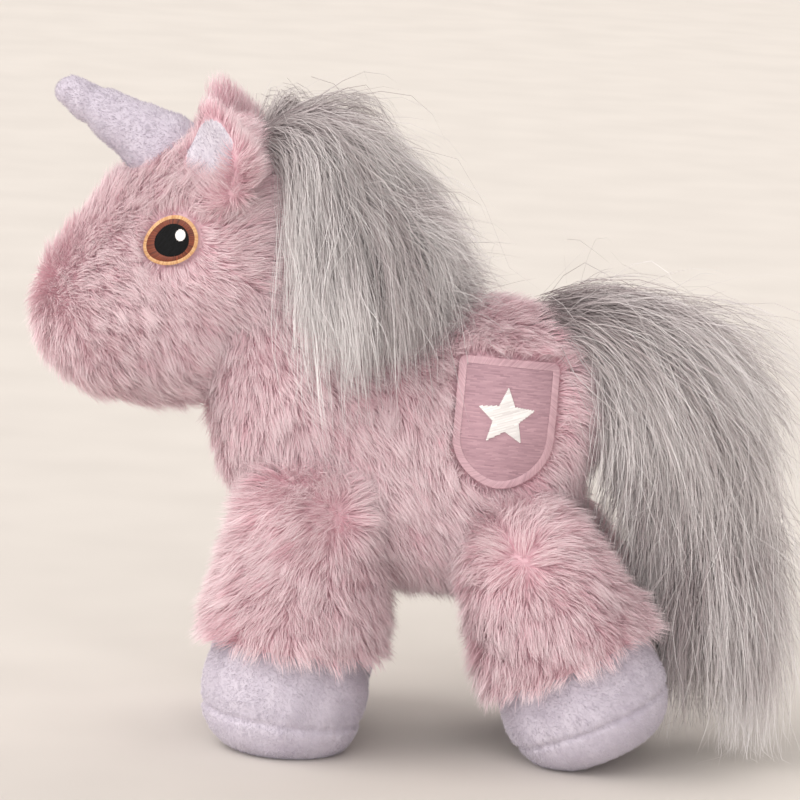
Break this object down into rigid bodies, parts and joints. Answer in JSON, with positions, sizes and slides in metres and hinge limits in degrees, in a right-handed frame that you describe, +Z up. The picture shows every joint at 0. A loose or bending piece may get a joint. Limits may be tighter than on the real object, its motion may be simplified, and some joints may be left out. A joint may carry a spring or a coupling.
{
  "type": "plush unicorn",
  "caption": "Standing soft toy unicorn in short-pile fur, with velour hooves and a velour horn, a long-haired mane and tail, embroidered eyes and a shield badge on the hip.",
  "frame": {"origin": "on the ground, below the middle of the bounding box", "axes": "+Z up, -X the way the animal faces, -Y its left side"},
  "size_m": [0.2643, 0.116, 0.2339],
  "materials": {
    "fur_pile": "faux fur with a short dense pile",
    "long_pile": "long straight faux hair",
    "velour": "short-pile velour",
    "filling": "loose polyester fibre",
    "satin_stitch": "satin-stitch embroidery",
    "rim_thread": "satin-stitch embroidery, cream",
    "iris_thread": "satin-stitch embroidery, rust brown",
    "pupil_thread": "satin-stitch embroidery, black",
    "white_thread": "satin-stitch embroidery, white"
  },
  "bodies": {
    "torso": {"body_panel_left": "fur_pile", "body_panel_right": "fur_pile", "belly_gusset": "fur_pile", "body_filling": "filling", "neck_mane": "long_pile", "badge_field": "satin_stitch", "badge_border": "satin_stitch", "badge_star": "white_thread"},
    "neck": {"neck_wad": "filling"},
    "head": {"head_panel_left": "fur_pile", "head_panel_right": "fur_pile", "head_gusset": "fur_pile", "chin_gusset": "fur_pile", "head_filling": "filling", "head_mane": "long_pile", "eye_rim_left": "rim_thread", "eye_iris_left": "iris_thread", "eye_pupil_left": "pupil_thread", "eye_glint_left": "white_thread", "eye_rim_right": "rim_thread", "eye_iris_right": "iris_thread", "eye_pupil_right": "pupil_thread", "eye_glint_right": "white_thread"},
    "horn": {"horn_cover": "velour", "horn_filling": "filling"},
    "ear_left": {"ear_back_left": "fur_pile", "ear_lining_left": "velour"},
    "ear_right": {"ear_back_right": "fur_pile", "ear_lining_right": "velour"},
    "tail": {"tail_root": "long_pile", "tail_hair": "long_pile"},
    "leg_front_left": {"leg_outer_front_left": "fur_pile", "leg_inner_front_left": "fur_pile", "hoof_wall_front_left": "velour", "hoof_sole_front_left": "velour", "leg_filling_front_left": "filling"},
    "leg_front_right": {"leg_outer_front_right": "fur_pile", "leg_inner_front_right": "fur_pile", "hoof_wall_front_right": "velour", "hoof_sole_front_right": "velour", "leg_filling_front_right": "filling"},
    "leg_rear_left": {"leg_outer_rear_left": "fur_pile", "leg_inner_rear_left": "fur_pile", "hoof_wall_rear_left": "velour", "hoof_sole_rear_left": "velour", "leg_filling_rear_left": "filling"},
    "leg_rear_right": {"leg_outer_rear_right": "fur_pile", "leg_inner_rear_right": "fur_pile", "hoof_wall_rear_right": "velour", "hoof_sole_rear_right": "velour", "leg_filling_rear_right": "filling"}
  },
  "joints": [
    {"name": "head_turn", "type": "hinge", "parent": "torso", "child": "neck", "pos_m": [-0.064, 0, 0.166], "axis": [-0.5, 0, 0.866], "range_deg": [-15, 15], "stiffness_Nm_per_rad": 0.6},
    {"name": "head_nod", "type": "hinge", "parent": "neck", "child": "head", "pos_m": [-0.064, 0, 0.166], "axis": [0, 1, 0], "range_deg": [-6, 18], "stiffness_Nm_per_rad": 0.8},
    {"name": "horn_flex", "type": "hinge", "parent": "head", "child": "horn", "pos_m": [-0.0954, 0, 0.2064], "axis": [0, 1, 0], "range_deg": [-10, 10], "stiffness_Nm_per_rad": 0.05},
    {"name": "ear_fold_left", "type": "hinge", "parent": "head", "child": "ear_left", "pos_m": [-0.062, -0.0385, 0.2], "axis": [0.6022, -0.7582, 0.2501], "range_deg": [-15, 40], "stiffness_Nm_per_rad": 0.01},
    {"name": "ear_fold_right", "type": "hinge", "parent": "head", "child": "ear_right", "pos_m": [-0.062, 0.0385, 0.2], "axis": [-0.6022, -0.7582, -0.2501], "range_deg": [-15, 40], "stiffness_Nm_per_rad": 0.01},
    {"name": "leg_swing_front_left", "type": "hinge", "parent": "torso", "child": "leg_front_left", "pos_m": [-0.035, -0.033, 0.082], "axis": [0, 1, 0], "range_deg": [-20, 20], "stiffness_Nm_per_rad": 0.5},
    {"name": "leg_swing_front_right", "type": "hinge", "parent": "torso", "child": "leg_front_right", "pos_m": [-0.035, 0.033, 0.082], "axis": [0, 1, 0], "range_deg": [-20, 20], "stiffness_Nm_per_rad": 0.5},
    {"name": "leg_swing_rear_left", "type": "hinge", "parent": "torso", "child": "leg_rear_left", "pos_m": [0.041, -0.033, 0.073], "axis": [0, 1, 0], "range_deg": [-10, 22], "stiffness_Nm_per_rad": 0.5},
    {"name": "leg_swing_rear_right", "type": "hinge", "parent": "torso", "child": "leg_rear_right", "pos_m": [0.041, 0.033, 0.073], "axis": [0, 1, 0], "range_deg": [-10, 22], "stiffness_Nm_per_rad": 0.5},
    {"name": "tail_lift", "type": "hinge", "parent": "torso", "child": "tail", "pos_m": [0.066, 0, 0.143], "axis": [0, -1, 0], "range_deg": [0, 45]}
  ]
}
